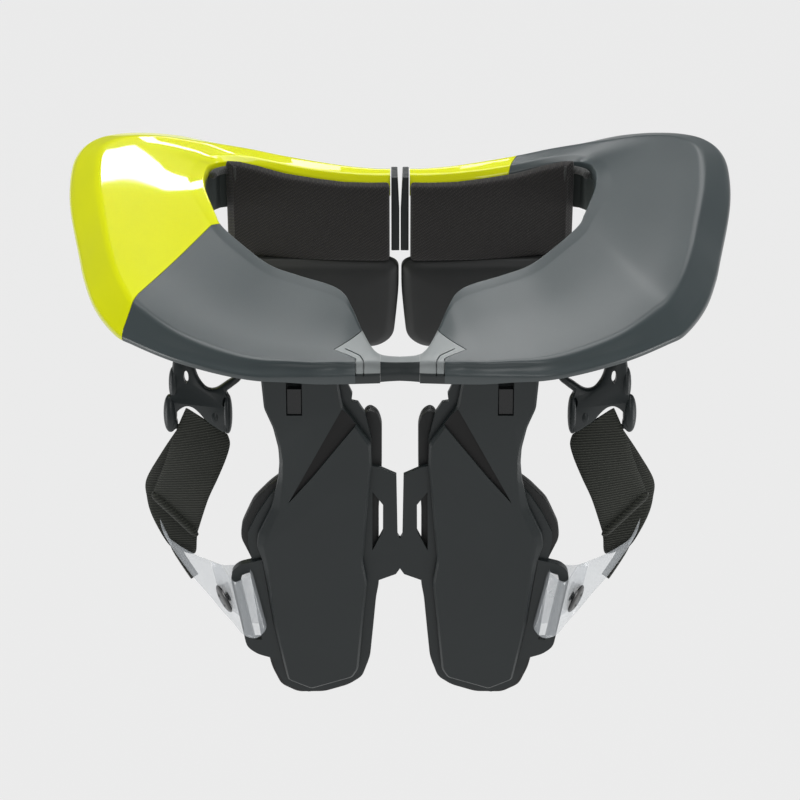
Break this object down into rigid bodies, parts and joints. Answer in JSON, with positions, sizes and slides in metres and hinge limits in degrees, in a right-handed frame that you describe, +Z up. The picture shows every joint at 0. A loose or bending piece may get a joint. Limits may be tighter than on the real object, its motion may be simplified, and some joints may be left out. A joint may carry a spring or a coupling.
{
  "type": "motocross neck brace",
  "caption": "Rigid split collar worn round the neck over the shoulders, with neck and chest pads, a winged back yoke and buckled side straps.",
  "frame": {"origin": "middle of the neck opening, below the rim of the collar by the lip height, where the wearer's neck sits", "axes": "+X to the wearer's right, +Y to the wearer's front, +Z up"},
  "size_m": [0.354, 0.2594, 0.1961],
  "materials": {
    "yellow_shell": "gloss",
    "graphite_shell": "satin",
    "hinge_plate": "satin",
    "black_plastic": "fine matte grain",
    "pad_fabric": "fine ribbed weave",
    "pad_foam": "moulded skin, satin",
    "elastic": "ribbed elastic webbing",
    "clear_plastic": "clear, soft, glossy"
  },
  "bodies": {
    "root": {"shell_right": "graphite_shell", "shell_right_tip": "yellow_shell", "shell_left_front": "yellow_shell", "shell_left_rear": "graphite_shell", "hinge_plate_right": "hinge_plate", "hinge_plate_left": "hinge_plate", "rear_bridge": "black_plastic", "front_frame_right": "black_plastic", "front_frame_left": "black_plastic", "neck_pad_right": "pad_fabric", "neck_pad_left": "pad_fabric", "chest_pad_right": "pad_foam", "chest_pad_left": "pad_foam", "latch_plate_right": "black_plastic", "latch_plate_left": "black_plastic", "wing_plate_right": "black_plastic", "wing_plate_left": "black_plastic", "slot_tab_right": "black_plastic", "slot_tab_left": "black_plastic", "back_yoke": "black_plastic", "wing_pad_right": "pad_foam", "wing_pad_left": "pad_foam", "buckle_female_right": "black_plastic", "buckle_female_left": "black_plastic", "buckle_male_right": "black_plastic", "buckle_male_left": "black_plastic", "elastic_strap_right": "elastic", "elastic_strap_left": "elastic", "clear_strap_right": "clear_plastic", "clear_strap_left": "clear_plastic", "rivet_right": "black_plastic", "rivet_left": "black_plastic"}
  },
  "joints": []
}
